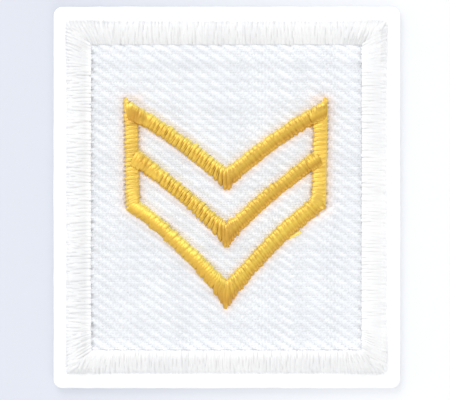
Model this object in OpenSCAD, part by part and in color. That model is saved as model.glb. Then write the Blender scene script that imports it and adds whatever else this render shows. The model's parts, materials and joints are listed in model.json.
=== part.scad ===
// Rank chevron patch: gold satin chevrons on white twill, with a white satin border and a plain backing.
// It lies flat. +X is right, +Y is the top of the patch, and +Z comes out of its face.
// The origin is under the middle of the backing, on the surface that it lies on.

/* [Backing] */
// Width of the backing, left to right
backing_w = 35; // [34:0.1:60]
// Length of the backing, bottom to top
backing_l = 38.5; // [36:0.1:70]
// Thickness of the backing
backing_t = 1; // [0.8:0.1:3]
// Radius of the backing's corners, seen from the front
backing_corner_r = 0.9; // [0.7:0.1:4]
// Rounding of the upper edge of the backing
backing_edge_r = 0.3; // [0.1:0.05:0.6]
// Width of the rim that shows beside the left and right of the border
rim_side = 1.35; // [0.5:0.05:1.8]
// Width of the rim that shows above and below the border
rim_end = 1.5; // [0.5:0.05:2.5]

/* [Twill ground] */
// Thickness of the twill with its stiffening
ground_t = 1; // [0.6:0.1:2]
// How far the border reaches past the cut edge of the twill
hem = 0.6; // [0.5:0.05:1]
// How far the stitching sits to the right of the backing's middle
stitch_x = -0.06; // [-0.3:0.01:0.3]

/* [Border] */
// Width of the border's left and right runs
border_side_w = 2.55; // [2:0.05:4]
// Width of the border's top and bottom runs
border_end_w = 2.36; // [2:0.05:4]
// Height of the border's crest above the twill
border_rise = 0.45; // [0.2:0.05:1]

/* [Chevrons] */
// Width over the two bars at their upper tips
mark_w = 20.6; // [16:0.1:24]
// Height of the upper tips above the middle of the patch
mark_top = 10; // [6:0.1:12]
// Height of the gold crests above the twill
gold_rise = 0.6; // [0.3:0.05:1]
// Length of a bar along its outer side
bar_l = 11.2; // [10:0.1:13]
// Width of a bar
bar_w = 1.5; // [1:0.05:2.5]
// How far a bar leans in from its upper tip to its lower end
bar_lean = 0.17; // [0:0.01:0.6]
// Depth of the bar's upper inner corner below its tip
shoulder = 2.65; // [2:0.05:3.5]
// Height of the bar's lower inner corner above its outer one
heel = 0.87; // [0.4:0.01:1.5]
// Depth of the top chevron's notch below the upper tips
top_notch = 7.04; // [5.5:0.02:8]
// Depth of the middle chevron's notch below the upper tips
middle_notch = 12.5; // [11.5:0.02:13.5]
// Depth of the bottom chevron's notch below the upper tips
bottom_notch = 18.36; // [17:0.02:19]
// Height of the top chevron at its point
top_point = 2.3; // [1.6:0.02:3]
// Height of the middle chevron at its point
middle_point = 2.5; // [1.6:0.02:3]
// Height of the bottom chevron at its point
bottom_point = 2.86; // [1.8:0.02:3.2]
// Depth below the upper tips at which the middle chevron meets the bars
middle_seat = 5.3; // [4.5:0.05:6]
// Height of the middle chevron where it meets the bars
middle_seat_h = 2.05; // [1.4:0.05:2.6]

/* [Clearances] */
// Gap between one layer and the next
layer_gap = 0.02; // [0.01:0.01:0.05]
// Gap between two stitched pieces where they meet
seam_gap = 0.02; // [0.01:0.01:0.05]
// Gap between the cut edge of the twill and the border round it
edge_gap = 0.05; // [0.02:0.01:0.1]

/* [Hidden] */

$fn = 48;

// Heights of the layers
ground_z = backing_t + layer_gap;
ground_top = ground_z + ground_t;
stitch_z = ground_top + layer_gap;
border_crest = stitch_z + border_rise;

// Outer size of the border, and the size of the twill that it covers
border_w = backing_w - 2 * rim_side;
border_l = backing_l - 2 * rim_end;
ground_w = border_w - 2 * hem;
ground_l = border_l - 2 * hem;

// How full a satin dome is: 2 is an ellipse, and a higher number is flatter on top
fullness = 2.5;
// Steps across a dome, and steps along one arm of a chevron
dome_steps = 12;
arm_steps = 12;

// Bow of each chevron edge towards the top of the patch, as a share of the edge's own drop
TOP_BOW = 0.24;
TOP_UNDER_BOW = 0.27;
MIDDLE_BOW = 0.05;
MIDDLE_UNDER_BOW = 0.24;
BOTTOM_BOW = 0.2;
BOTTOM_UNDER_BOW = 0.37;

// The dome's outline as rows of [share across, share of the rise], from one edge to the other
DOME = [
    for (i = [0:dome_steps])
    let (a = 180 * i / dome_steps, p = 2 / fullness)
    [(1 - sign(cos(a)) * pow(abs(cos(a)), p)) / 2, pow(abs(sin(a)), p)]
];
ACROSS = 0;
RISE = 1;

// The bars' corners on the right, as [x from the middle line, y]; the left ones are their mirror
tip = [mark_w / 2, mark_top];
heel_out = [mark_w / 2 - bar_lean, mark_top - bar_l];
inner_top = [inner_x(mark_top - shoulder), mark_top - shoulder];
inner_low = [inner_x(mark_top - bar_l + heel), mark_top - bar_l + heel];

// X of the bar's inner side at height y
function inner_x(y) = mark_w / 2 - bar_w - bar_lean * (mark_top - y) / bar_l;

// A line moved sideways by d, to the left of its direction from a to b
function moved(a, b, d) =
    let (n = [a[1] - b[1], b[0] - a[0]] * d / norm(b - a))
    [a + n, b + n];

// A point of a chevron's edge, which runs from end on the right bar to the middle line at mid_y.
// u is 1 at the right bar, 0 at the middle line and -1 at the left bar.
function edge_point(u, end, mid_y, bow) =
    let (v = abs(u), fall = 1 - v - bow * v * (1 - v))
    [u * end[0], end[1] + (mid_y - end[1]) * fall];

// One domed section that stands on the line from a to b
function dome_section(a, b) = [
    for (row = DOME)
    let (p = a + (b - a) * row[ACROSS])
    [p[0], p[1], stitch_z + gold_rise * row[RISE]]
];

// The solid through a list of sections with as many points each.
// A ring joins the last section to the first, and any other solid gets an end face at each end.
module loft(sections, ring = false) {
    n = len(sections);
    m = len(sections[0]);
    walls = [
        for (i = [0:n - (ring ? 1 : 2)], j = [0:m - 1])
        let (k = (i + 1) % n, l = (j + 1) % m)
        each [[i * m + j, k * m + j, i * m + l], [i * m + l, k * m + j, k * m + l]]
    ];
    ends = ring ? [] : [
        for (j = [1:m - 2])
        each [[0, j, j + 1], [(n - 1) * m, (n - 1) * m + j + 1, (n - 1) * m + j]]
    ];
    polyhedron([for (s = sections) each s], concat(walls, ends));
}

// A chevron between an upper and a lower edge, each given by its end, its height at the middle and its bow
module chevron(upper_end, notch_y, upper_bow, lower_end, point_y, lower_bow) {
    color("#f5c542")
    translate([stitch_x, 0, 0])
    loft([
        for (i = [-arm_steps:arm_steps])
        let (u = i / arm_steps)
        dome_section(
            edge_point(u, upper_end, notch_y, upper_bow),
            edge_point(u, lower_end, point_y, lower_bow)
        )
    ]);
}

// The bar on the right, cut along the seams that it shares with the top and bottom chevrons
module bar() {
    upper = moved(inner_top, tip, -seam_gap / 2);
    lower = moved(inner_low, heel_out, seam_gap / 2);
    color("#f5c542")
    loft([dome_section(lower[0], lower[1]), dome_section(upper[0], upper[1])]);
}

module backing() {
    r = backing_edge_r;
    x = backing_w / 2 - backing_corner_r;
    y = backing_l / 2 - backing_corner_r;
    color("white")
    union() {
        for (sx = [-1, 1], sy = [-1, 1])
            translate([sx * x, sy * y, 0])
            rotate_extrude()
            backing_edge(backing_corner_r, r);
        for (side = [0, 180])
            rotate([0, 0, side]) {
                translate([x, y, 0])
                rotate([90, 0, 0])
                linear_extrude(2 * y)
                backing_edge(backing_corner_r, r);
                translate([-x, y, 0])
                rotate([90, 0, 90])
                linear_extrude(2 * x)
                backing_edge(backing_corner_r, r);
            }
        translate([-x, -y, 0])
        cube([2 * x, 2 * y, backing_t]);
    }
}

// Half of the backing's section: w wide, with its upper outer corner rounded to r
module backing_edge(w, r) {
    square([w - r, backing_t]);
    square([w, backing_t - r]);
    translate([w - r, backing_t - r])
    intersection() {
        circle(r);
        square(r);
    }
}

module ground() {
    color("#f4f6fa")
    translate([stitch_x - ground_w / 2, -ground_l / 2, ground_z])
    cube([ground_w, ground_l, ground_t]);
}

// The border is one mitred ring. Its section is a dome on the twill, with a skirt outside that reaches
// down past the cut edge of the twill to the backing.
module border() {
    skirt_w = hem - edge_gap;
    skirt_z = backing_t + layer_gap;
    // Rows of [inset of the side runs, inset of the end runs, height], from the inner edge outwards
    section = concat(
        [
            for (row = DOME)
            let (foot = row[ACROSS] < 0.5 ? stitch_z : skirt_z, inset = 1 - row[ACROSS])
            [inset * border_side_w, inset * border_end_w, foot + (border_crest - foot) * row[RISE]]
        ],
        [[skirt_w, skirt_w, skirt_z], [skirt_w, skirt_w, stitch_z]]
    );
    color("#fbfbfd")
    translate([stitch_x, 0, 0])
    loft([
        for (corner = [[1, 1], [-1, 1], [-1, -1], [1, -1]])
        [for (p = section) [corner[0] * (border_w / 2 - p[0]), corner[1] * (border_l / 2 - p[1]), p[2]]]
    ], ring = true);
}

module right_bar() {
    translate([stitch_x, 0, 0])
    bar();
}

module left_bar() {
    translate([stitch_x, 0, 0])
    mirror([1, 0, 0])
    bar();
}

module top_chevron() {
    seam = moved(tip, inner_top, -seam_gap / 2);
    notch_y = mark_top - top_notch;
    chevron(seam[0], notch_y, TOP_BOW, seam[1], notch_y - top_point, TOP_UNDER_BOW);
}

module middle_chevron() {
    upper_y = mark_top - middle_seat;
    lower_y = upper_y - middle_seat_h;
    seam = moved([inner_x(upper_y), upper_y], [inner_x(lower_y), lower_y], -seam_gap);
    notch_y = mark_top - middle_notch;
    chevron(seam[0], notch_y, MIDDLE_BOW, seam[1], notch_y - middle_point, MIDDLE_UNDER_BOW);
}

module bottom_chevron() {
    seam = moved(inner_low, heel_out, -seam_gap / 2);
    notch_y = mark_top - bottom_notch;
    chevron(seam[0], notch_y, BOTTOM_BOW, seam[1], notch_y - bottom_point, BOTTOM_UNDER_BOW);
}

backing();
ground();
border();
left_bar();
right_bar();
top_chevron();
middle_chevron();
bottom_chevron();
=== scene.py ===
# %% [markdown]
# A rank chevron patch, dressed for its portrait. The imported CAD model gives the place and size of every
# piece: a plain backing, a twill ground, a satin border, two gold bars and three gold chevrons. Here each of
# them is made again as what it is on the real patch, out of felt, yarns and satin threads.
# The frame is loaded first, and its box is kept, because the dressed patch has to stay inside it.

import json
import math

import bmesh
import bpy
import numpy as np
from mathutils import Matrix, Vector, noise

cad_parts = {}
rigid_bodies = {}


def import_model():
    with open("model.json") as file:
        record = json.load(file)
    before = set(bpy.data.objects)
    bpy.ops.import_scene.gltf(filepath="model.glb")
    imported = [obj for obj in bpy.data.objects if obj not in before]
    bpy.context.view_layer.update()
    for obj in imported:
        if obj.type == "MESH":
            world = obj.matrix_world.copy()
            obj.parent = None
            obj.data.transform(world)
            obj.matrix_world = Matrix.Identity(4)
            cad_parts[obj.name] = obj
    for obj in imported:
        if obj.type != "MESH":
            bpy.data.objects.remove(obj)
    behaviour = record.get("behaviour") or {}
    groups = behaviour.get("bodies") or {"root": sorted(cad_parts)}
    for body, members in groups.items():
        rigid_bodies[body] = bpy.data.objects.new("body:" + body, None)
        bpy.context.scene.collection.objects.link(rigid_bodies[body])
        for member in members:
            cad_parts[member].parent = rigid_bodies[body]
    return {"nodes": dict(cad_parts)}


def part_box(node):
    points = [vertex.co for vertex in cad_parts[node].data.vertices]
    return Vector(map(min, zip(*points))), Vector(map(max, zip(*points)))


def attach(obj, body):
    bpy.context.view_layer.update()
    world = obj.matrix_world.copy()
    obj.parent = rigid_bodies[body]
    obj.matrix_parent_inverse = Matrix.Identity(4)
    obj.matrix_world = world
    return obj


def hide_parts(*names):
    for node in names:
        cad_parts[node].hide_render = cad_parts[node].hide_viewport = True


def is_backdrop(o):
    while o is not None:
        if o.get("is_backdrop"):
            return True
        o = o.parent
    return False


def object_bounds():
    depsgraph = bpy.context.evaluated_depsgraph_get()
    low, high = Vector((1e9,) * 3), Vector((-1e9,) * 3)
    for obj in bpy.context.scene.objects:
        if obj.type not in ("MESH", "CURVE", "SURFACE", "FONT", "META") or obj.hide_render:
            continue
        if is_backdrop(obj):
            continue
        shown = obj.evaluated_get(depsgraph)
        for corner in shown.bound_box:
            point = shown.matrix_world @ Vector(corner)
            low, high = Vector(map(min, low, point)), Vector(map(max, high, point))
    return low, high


for leftover in list(bpy.data.objects):
    bpy.data.objects.remove(leftover)
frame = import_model()
CAD_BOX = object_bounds()
MM = 0.001
print("nodes:", sorted(frame["nodes"]))

# %% [markdown]
# Sizes. Lengths in this script are in millimetres, and become metres only when a mesh is made. What the
# frame can say is read from it: the heights of the layers, the outside of the border and the tips of the
# bars. The rest are the widths and bows of the stitching, which repeat the names and values of the part's
# own source, since a box can't give them.


# %% Read the sizes from the frame
def node_box(node):
    """Lowest and highest corner of a CAD node, in millimetres."""
    low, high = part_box(node)
    return np.array(low) / MM, np.array(high) / MM


felt_low, felt_high = node_box("backing")
cloth_low, cloth_high = node_box("ground")
border_low, border_high = node_box("border")
gold_low, gold_high = node_box("top_chevron")

middle_x = (border_low[0] + border_high[0]) / 2
border_w = border_high[0] - border_low[0]
border_l = border_high[1] - border_low[1]
felt_top = felt_high[2]
cloth_top = cloth_high[2]
stitch_z = gold_low[2]
gold_rise = gold_high[2] - stitch_z
mark_w = node_box("right_bar")[1][0] - node_box("left_bar")[0][0]
mark_top = node_box("right_bar")[1][1]
print(f"border {border_w:.2f} by {border_l:.2f} mm, gold mark {mark_w:.2f} mm wide, top at {mark_top:.2f} mm")

# %% [markdown]
# Satin is one thread that goes up and down beside itself. The needle swings from one edge of a column to the
# other and back, so two threads share each needle hole and the rows lean in a fine zigzag. Padding under
# them lifts the rows into a dome. The outline of that dome is a superellipse as in the CAD model, a little
# fuller on the gold columns, whose tops are nearly flat.
# One short rod with few faces is the pattern for every row. A numpy array then bends copies of it over the
# dome, and all copies of a column are joined in one mesh, which is far quicker than an object for each.

# %% The shape of a satin dome and one rod to bend over it
FULLNESS = 2.5
BAR_FULLNESS = 4.0
ARM_FULLNESS = 2.7


def dome(share, fullness=FULLNESS):
    """Rise of the dome, 0 at its edges and 1 on its crest, at a share of the way across."""
    across = np.abs(2 * np.clip(share, 0, 1) - 1)
    return (1 - across**fullness) ** (1 / fullness)


def rod_pattern(sides, steps):
    """A closed rod as arrays: how far along and round each point is, its faces, and the same for corners."""
    bm = bmesh.new()
    bmesh.ops.create_cone(bm, cap_ends=True, segments=sides, radius1=1, radius2=1, depth=1)
    long_edges = [e for e in bm.edges if abs(e.verts[0].co.z - e.verts[1].co.z) > 0.5]
    bmesh.ops.subdivide_edges(bm, edges=long_edges, cuts=steps - 1, use_grid_fill=True)
    bmesh.ops.recalc_face_normals(bm, faces=bm.faces)
    bm.verts.ensure_lookup_table()
    along = np.array([v.co.z + 0.5 for v in bm.verts])
    angle = np.array([math.atan2(v.co.y, v.co.x) for v in bm.verts])
    faces = [[v.index for v in f.verts] for f in bm.faces]
    bm.free()
    corners = np.array([i for f in faces for i in f])
    turn = angle[corners] / (2 * math.pi)
    start = 0
    for f in faces:
        own = turn[start : start + len(f)]
        if own.max() - own.min() > 0.5:
            own[own < 0] += 1
        start += len(f)
    ring = np.round(along * steps).astype(int)
    return {
        "along": along, "angle": angle, "faces": faces, "corners": corners, "turn": turn, "ring": ring,
        "steps": steps,
    }


THREAD_ROD = rod_pattern(sides=6, steps=12)
print("one thread has", len(THREAD_ROD["faces"]), "faces")

# %% [markdown]
# The next helper turns arrays of bent rods into one Blender mesh. Each rod carries its own UV map, in
# millimetres along it and in turns round it, so that the twist of the yarn follows the thread wherever it
# goes. Each also carries one random tone from 0 to 1, for the small differences between threads.


# %% Join bent rods in one mesh
def in_scene(name, data):
    """An object for a mesh, a camera or a light, linked to the scene."""
    thing = bpy.data.objects.new(name, data)
    bpy.context.scene.collection.objects.link(thing)
    return thing


def joined_rods(name, pattern, points, lengths, tones):
    """One mesh from rods bent to points, an array of rods by points by xyz in millimetres."""
    count, size = points.shape[0], points.shape[1]
    faces = [[i + rod * size for i in f] for rod in range(count) for f in pattern["faces"]]
    mesh = bpy.data.meshes.new(name)
    placed = points.reshape(-1, 3) * MM
    mesh.from_pydata(placed.tolist(), [], faces)
    uv = np.empty((count, len(pattern["corners"]), 2))
    uv[:, :, 0] = lengths[:, None] * pattern["along"][pattern["corners"]][None, :]
    uv[:, :, 1] = pattern["turn"][None, :]
    layer = mesh.uv_layers.new(name="thread")
    layer.data.foreach_set("uv", uv.astype(np.float32).ravel())
    tone = mesh.attributes.new("tone", "FLOAT", "POINT")
    tone.data.foreach_set("value", np.repeat(tones, size).astype(np.float32))
    mesh.shade_smooth()
    return in_scene(name, mesh)


def keep_shades(piece, shades):
    """Keeps a colour for each point of a piece, by which its material's own colour is multiplied."""
    layer = piece.data.color_attributes.new("point_shade", "FLOAT_COLOR", "POINT")
    colors = np.concatenate([shades, np.ones((len(shades), 1))], axis=1)
    layer.data.foreach_set("color", colors.astype(np.float32).ravel())


def unit(vectors):
    """Vectors of length 1, from an array whose last axis is xy or xyz."""
    return vectors / np.linalg.norm(vectors, axis=-1, keepdims=True)


def bend_rods(pattern, paths, widths, thicknesses, narrow=1.0, flat=1.0):
    """Points of rods that follow paths, an array of rods by steps + 1 by xyz, and lie flat on their sides.

    narrow scales the width and thickness at each step, and flat the thickness alone.
    """
    direction = unit(np.gradient(paths, axis=1))
    chord = unit(paths[:, -1, :2] - paths[:, 0, :2])
    side = np.stack([-chord[:, 1], chord[:, 0], np.zeros(len(chord))], axis=1)[:, None, :]
    side = np.broadcast_to(side, direction.shape)
    up = np.cross(direction, side)
    ring = pattern["ring"]
    full = np.broadcast_to(narrow, paths.shape[:2])
    across = widths[:, None] / 2 * full[:, ring] * np.cos(pattern["angle"])
    deep = thicknesses[:, None] / 2 * (full * flat)[:, ring] * np.sin(pattern["angle"])
    return paths[:, ring] + side[:, ring] * across[:, :, None] + up[:, ring] * deep[:, :, None]


# %% [markdown]
# Laying satin. Every column has two edges, and each thread runs from a hole on one to a hole on the other.
# The threads are wider than the room they have, so they overlap, and every other one lies on top. Holes,
# heights and widths vary a little, which is what makes stitching look stitched. The ends narrow and dive
# through the cloth, where the needle pulled them tight. The gold arms, the gold bars and the white border
# differ in how strong each of these is, so each has its own numbers and one function lays all three.

# %% Write down how the three kinds of satin look
# Width and thickness of a thread, how much higher every other thread lies, how far a thread's height wavers
# along it and scatters from thread to thread, how flat it starts, where 1 is as round as in its middle, how
# uneven its ends are, how wide its start and its end are, as shares of its width, and how far down they dive
GOLD_LOOK = {
    "width": 0.31, "thick": 0.15, "stagger": 0.065, "ripple": 0.008, "flat_start": 0.45,
    "scatter": 0.006, "ragged": 0.045, "end_width": (1.25, 0.6), "dive": 0.2,
}
BAR_LOOK = {
    "width": 0.42, "thick": 0.06, "stagger": 0.0, "ripple": 0.002, "flat_start": 1.0,
    "scatter": 0.002, "ragged": 0.035, "end_width": (0.35, 0.35), "dive": 0.22,
}
WHITE_LOOK = {
    "width": 0.42, "thick": 0.065, "stagger": 0.002, "ripple": 0.009, "flat_start": 1.0,
    "scatter": 0.006, "ragged": 0.02, "end_width": (1.25, 0.9), "dive": 0.05,
}
# How far inside the edges the needle goes in, the shares of a thread's length in which its ends narrow and
# dive, and the most that a thread stands above the crest of the dome
END_INSET = 0.03
PINCH = 0.14
DIVE_SHARE = 0.04
CREST_LIMIT = 0.12
# How far a thread bows sideways, how much its width varies, the least and the most share of the stagger that
# it takes, and how often its height wavers
SIDE_BOW = 0.02
WIDTH_SCATTER = 0.07
STAGGER_SPAN = (0.35, 1.25)
WAVES = (0.8, 2.0)
# Places along a thread, each as a start and a width: where it parts from its neighbours, where it meets them
# again, counted from its far end, and where it gets round and then half flat again
PARTING = (0.2, 0.25)
MEETING = (0.0, 0.35)
ROUNDING = (0.15, 0.3)
FLATTENING = (0.65, 0.25)
# How much of an end's lift is lost on the crest of the dome
LIFT_LOSS = 0.5
# How much calmer and thinner a smooth thread is, and how much wider in its middle and all along
SMOOTH_CALM = 0.75
SMOOTH_THIN = 0.6
SMOOTH_FILL = 0.5
SMOOTH_WIDE = 0.3
print("widths of a thread in mm:", [look["width"] for look in (GOLD_LOOK, BAR_LOOK, WHITE_LOOK)])

# %% [markdown]
# The needle's places come first. Two neighbouring threads share a hole, now on one edge and now on the other,
# which makes the zigzag. All chance in this script comes from one generator with a fixed seed, so that every
# run gives the same patch.

# %% Place the needle along a column
SEED = 11
rng = np.random.default_rng(SEED)
print("chance starts from seed", SEED)


def mixed(first, last, share):
    """The value at a share of the way from first to last."""
    return first + (last - first) * share


def ease(value):
    """0 below 0, 1 above 1 and smooth between."""
    t = np.clip(value, 0, 1)
    return t * t * (3 - 2 * t)


def ramp(value, start, width):
    """0 below start, 1 from a width further on, and smooth between."""
    return ease((value - start) / width)


def on_right(x, change=1.6):
    """0 on the left arm of a chevron, 1 on the right one, and smooth over a width of change between."""
    return ease(x / change + 0.5)


def zigzag(first, last, pitch, wander=0.025, meet=(1.0, 1.0)):
    """Places along a column where each thread starts and ends. Threads 2k and 2k + 1 end in one hole.

    meet is how near two threads come to each other at their starts and at their ends, up to 1 for one hole.
    Its third number, if it has one, is for their ends on the right arm of a chevron.
    """
    count = int(round((last - first) / (pitch / 2)))
    index = np.arange(count)
    middle = first + (index + 0.5) * (last - first) / count
    swing = np.where(index % 2 == 0, -pitch / 4, pitch / 4)
    start_shift = rng.normal(0, wander, count + 2)[(index + 1) // 2]
    end_shift = rng.normal(0, wander, count + 2)[index // 2]
    start = np.clip(middle + swing * meet[0] + start_shift, first, last)
    end = np.clip(middle - swing * mixed(meet[1], meet[-1], on_right(middle)) + end_shift, first, last)
    return start, end


# %% [markdown]
# Now the threads themselves. numpy works on a whole column at once: its arrays have a row for each thread and
# a place for each step along it. The path is worked out as seen from above, then its height and its width,
# and the rod is bent over it.


# %% Bend the threads of a column
def satin(starts, ends, height, reach=1.0, dive=1.0, lift=(0, 0), look=GOLD_LOOK, smooth=0.0):
    """Bent threads from starts to ends, arrays of xy, their lengths, and how far across each point lies.

    height gives z at a share of the way across, and reach is the share at which each thread ends. dive is how
    far down the far end goes, and lift how far each end is raised, where another column lies under it.
    smooth is 0 where every thread stands out and 1 where they lie as one smooth band.
    """
    count = len(starts)

    def each(value):
        return np.broadcast_to(value, count)[:, None]

    smooth, dive = each(smooth), each(dive)
    heading = unit(ends - starts)
    lengths = np.linalg.norm(ends - starts, axis=1)
    starts = starts + heading * (END_INSET + rng.normal(0, look["ragged"], (count, 1)))
    ends = ends - heading * (END_INSET + rng.normal(0, look["ragged"], (count, 1)))
    # The steps lie closer at the ends of a thread, where it bends most
    steps = THREAD_ROD["steps"]
    along = (1 - np.cos(np.pi * np.arange(steps + 1) / steps)) / 2
    arch = np.sin(np.pi * along)
    plan = mixed(starts[:, None, :], ends[:, None, :], along[None, :, None])
    side = np.stack([-heading[:, 1], heading[:, 0]], axis=1)
    plan = plan + side[:, None, :] * (rng.normal(0, SIDE_BOW, (count, 1)) * arch)[:, :, None]
    step = look["stagger"] * (1 - smooth) * rng.uniform(*STAGGER_SPAN, (count, 1))
    order = np.where(np.arange(count)[:, None] % 2 == 0, step, -step)
    phase = rng.uniform(0, 2 * np.pi, (count, 1))
    ripple = look["ripple"] * np.sin(phase + 2 * np.pi * rng.uniform(*WAVES, (count, 1)) * along)
    scatter = rng.normal(0, look["scatter"], (count, 1))
    parted = ramp(along, *PARTING) * ramp(1 - along, *MEETING)
    uneven = order * parted + (1 - SMOOTH_CALM * smooth) * (ripple + scatter) * arch
    near_end, far_end = (np.clip(1 - way / DIVE_SHARE, 0, 1) for way in (along, 1 - along))
    thick = look["thick"] * (1 - SMOOTH_THIN * smooth)
    sunk = thick / 2 + look["dive"] * (near_end + dive * far_end)
    share = each(reach) * along
    raised = mixed(each(lift[0]), each(lift[1]), along) * (1 - LIFT_LOSS * dome(share))
    z = np.minimum(height(share) + raised + uneven - sunk, height(0.5) + CREST_LIMIT)
    start_width = mixed(look["end_width"][0], 1, np.clip(along / (2 * PINCH), 0, 1))
    end_width = mixed(look["end_width"][1], 1, np.clip((1 - along) / PINCH, 0, 1))
    narrow = start_width * (1 - dive * (1 - end_width)) * (1 + SMOOTH_FILL * smooth * arch)
    widths = look["width"] * rng.normal(1, WIDTH_SCATTER, count) * (1 + SMOOTH_WIDE * smooth[:, 0])
    # A thread is roundest between these places, where it is free of its neighbours' ends
    middle = ramp(along, *ROUNDING) * (1 - 0.5 * ramp(along, *FLATTENING))
    flat = mixed(look["flat_start"], 1, middle)
    paths = np.concatenate([plan, z[:, :, None]], axis=2)
    points = bend_rods(THREAD_ROD, paths, widths, thick[:, 0], narrow, flat)
    return points, lengths, share[:, THREAD_ROD["ring"]]


# %% [markdown]
# The needle also leaves its mark in the cloth: a pit, pushed down and darkened with painted shade. The
# places are only noted here, because the twill that is pushed down there is woven later.

# %% Note the pits that the needle leaves
# Painted shade in a pit: the colour that is left of the cloth's own there. Gold threads around a pit tint
# the light that reaches it.
GOLD_PIT = (0.3, 0.19, 0.05)
WHITE_PIT = (0.45, 0.45, 0.46)
DEEPEST_PIT = 0.95
needle_pits = []


def pierce(feet, other_feet, radius, strength, shade, spread=0.3, inward=0.04):
    """Notes a cloth pit between each needle hole and the next: x, y, radius, strength and painted shade."""
    holes = (feet + unit(other_feet - feet) * inward)[::2]
    for x, y in (holes[1:] + holes[:-1]) / 2:
        depth = np.clip(strength * rng.normal(1, spread), 0, DEEPEST_PIT)
        needle_pits.append((x, y, radius, depth, *shade))


# %% [markdown]
# Padding. Under every column lies a plain core that follows the same dome a little lower down. It closes the
# column from below, so that no cloth shows between two threads.

# %% Pad a column
CORE_ROD = rod_pattern(sides=14, steps=36)
CORE_DROP = 0.1
# Share of the column's width that the core leaves free on each side, and how thick it is there
CORE_MARGIN = 0.07
CORE_EDGE = 0.02
# How far the gold columns' cores reach down below the stitches, so that no gap shows under them
CORE_SINK = 0.05
core_floor = stitch_z - CORE_SINK


def padding(edge_a, edge_b, height, floor_z, drop=CORE_DROP):
    """Points of a core between two edges, arrays of xy with steps + 1 rows, and how far across they lie."""
    ring, angle = CORE_ROD["ring"], CORE_ROD["angle"]
    share = mixed(CORE_MARGIN, 1 - CORE_MARGIN, (1 - np.cos(angle)) / 2)
    plan = mixed(edge_a[ring], edge_b[ring], share[:, None])
    top = np.maximum(height(share) - drop, floor_z + CORE_EDGE)
    z = np.where(np.sin(angle) > 1e-6, top, floor_z)
    return np.concatenate([plan, z[:, None]], axis=1)[None], share[None]


# %% [markdown]
# Colour by place, most of it painted light and shade. Painted light stands for the light that comes back
# from the white cloth and makes the edges of a gold column paler. Painted shade makes its threads duller and
# more orange at the points and joints and where the arms turn away from the light. Painted light makes
# a white column brightest along its edges too. Every point of a stitched piece keeps such a colour, and its
# material multiplies its own colour by it.

# %% Paint light and shade on the stitching by place
# How much painted light makes the gold paler along an edge, as red, green and blue, and over what share of
# the width
EDGE_GOLD = (0.3, 0.64, 2.9)
EDGE_SHARE = 0.17
# How much of its colour the painted shade leaves on the darkest parts of the arms, which turn away from
# the light
PAINTED_SHADE_GOLD = (0.8, 0.66, 0.4)
# Places across a column, from 0 at one edge to 1 at the other, for the lists of shades below
ACROSS = (0, 0.1, 0.25, 0.4, 0.5, 0.6, 0.75, 0.9, 1)
# Painted light and shade of the left and the right bar from the outer to the inner edge
BAR_SHADES = {
    -1: (1.12, 1.06, 0.9, 0.86, 0.87, 0.89, 0.97, 1.12, 1.15),
    1: (1.2, 1.18, 1.08, 1.0, 0.97, 0.95, 0.94, 1.1, 1.15),
}
BAR_GOLD = (0.99, 0.94, 1.0)
# Spots of painted shade where the gold is duller and more orange, as x, y, radius and strength: the three
# points of the chevrons, and the upper and middle joints on the left bar
SHADE_SPOTS = [
    (0.0, 1.6, 1.2, 0.6),
    (0.0, -3.9, 1.3, 0.65),
    (0.0, -9.9, 1.4, 0.65),
    (-9.3, 8.1, 0.8, 1.0),
    (-8.3, 3.6, 0.8, 0.5),
]
# How much of the gold's colour the painted shade of a spot leaves at full strength, as red, green and blue
SPOT_SHADE_GOLD = (0.82, 0.62, 0.35)


def fade(away, width):
    """1 where away is 0, and less and less on either side, over a width."""
    return np.exp(-((away / width) ** 2))


def spot_shade(points):
    """The painted shade of each point near the spots, as red, green and blue."""
    dull = np.zeros(len(points))
    for x, y, radius, strength in SHADE_SPOTS:
        dull = np.maximum(dull, strength * fade(np.hypot(points[:, 0] - x, points[:, 1] - y), radius))
    return 1 - dull[:, None] * (1 - np.array(SPOT_SHADE_GOLD))


def edge_glow(share, first, second):
    """Strength of the painted edge light at a share of the way across, given how strong each edge is."""
    return first * fade(share, EDGE_SHARE) + second * fade(1 - share, EDGE_SHARE)


def gold_shade(share, first, second, low=0.0):
    """The gold's painted light and shade across a column. low is how strong its painted shade is."""
    paler = edge_glow(share, first, second)[..., None] * np.array(EDGE_GOLD)
    return (1 + paler) * (1 - np.asarray(low)[..., None] * (1 - np.array(PAINTED_SHADE_GOLD)))


def white_shade(share, first, second, middle=0.0):
    """The white's painted light and shade across a column, by the strength of each edge and the middle."""
    glow = edge_glow(share, first, second) + middle * np.sin(np.pi * np.clip(share, 0, 1))
    return np.repeat(1 + glow[..., None], 3, axis=-1)


# %% [markdown]
# The threads of a column and the cores under them become one mesh, which stands for its CAD node. Every piece
# rides on the root, the only body that the patch has.

# %% Make one piece of threads and cores
# The length that a core's UV map is given, in millimetres
CORE_LENGTH = 8.0


def hand_over(piece, node=None):
    """Puts a piece on its body and hides the CAD node that it stands for, if any."""
    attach(piece, "root")
    if node:
        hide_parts(node)
    return piece


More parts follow.
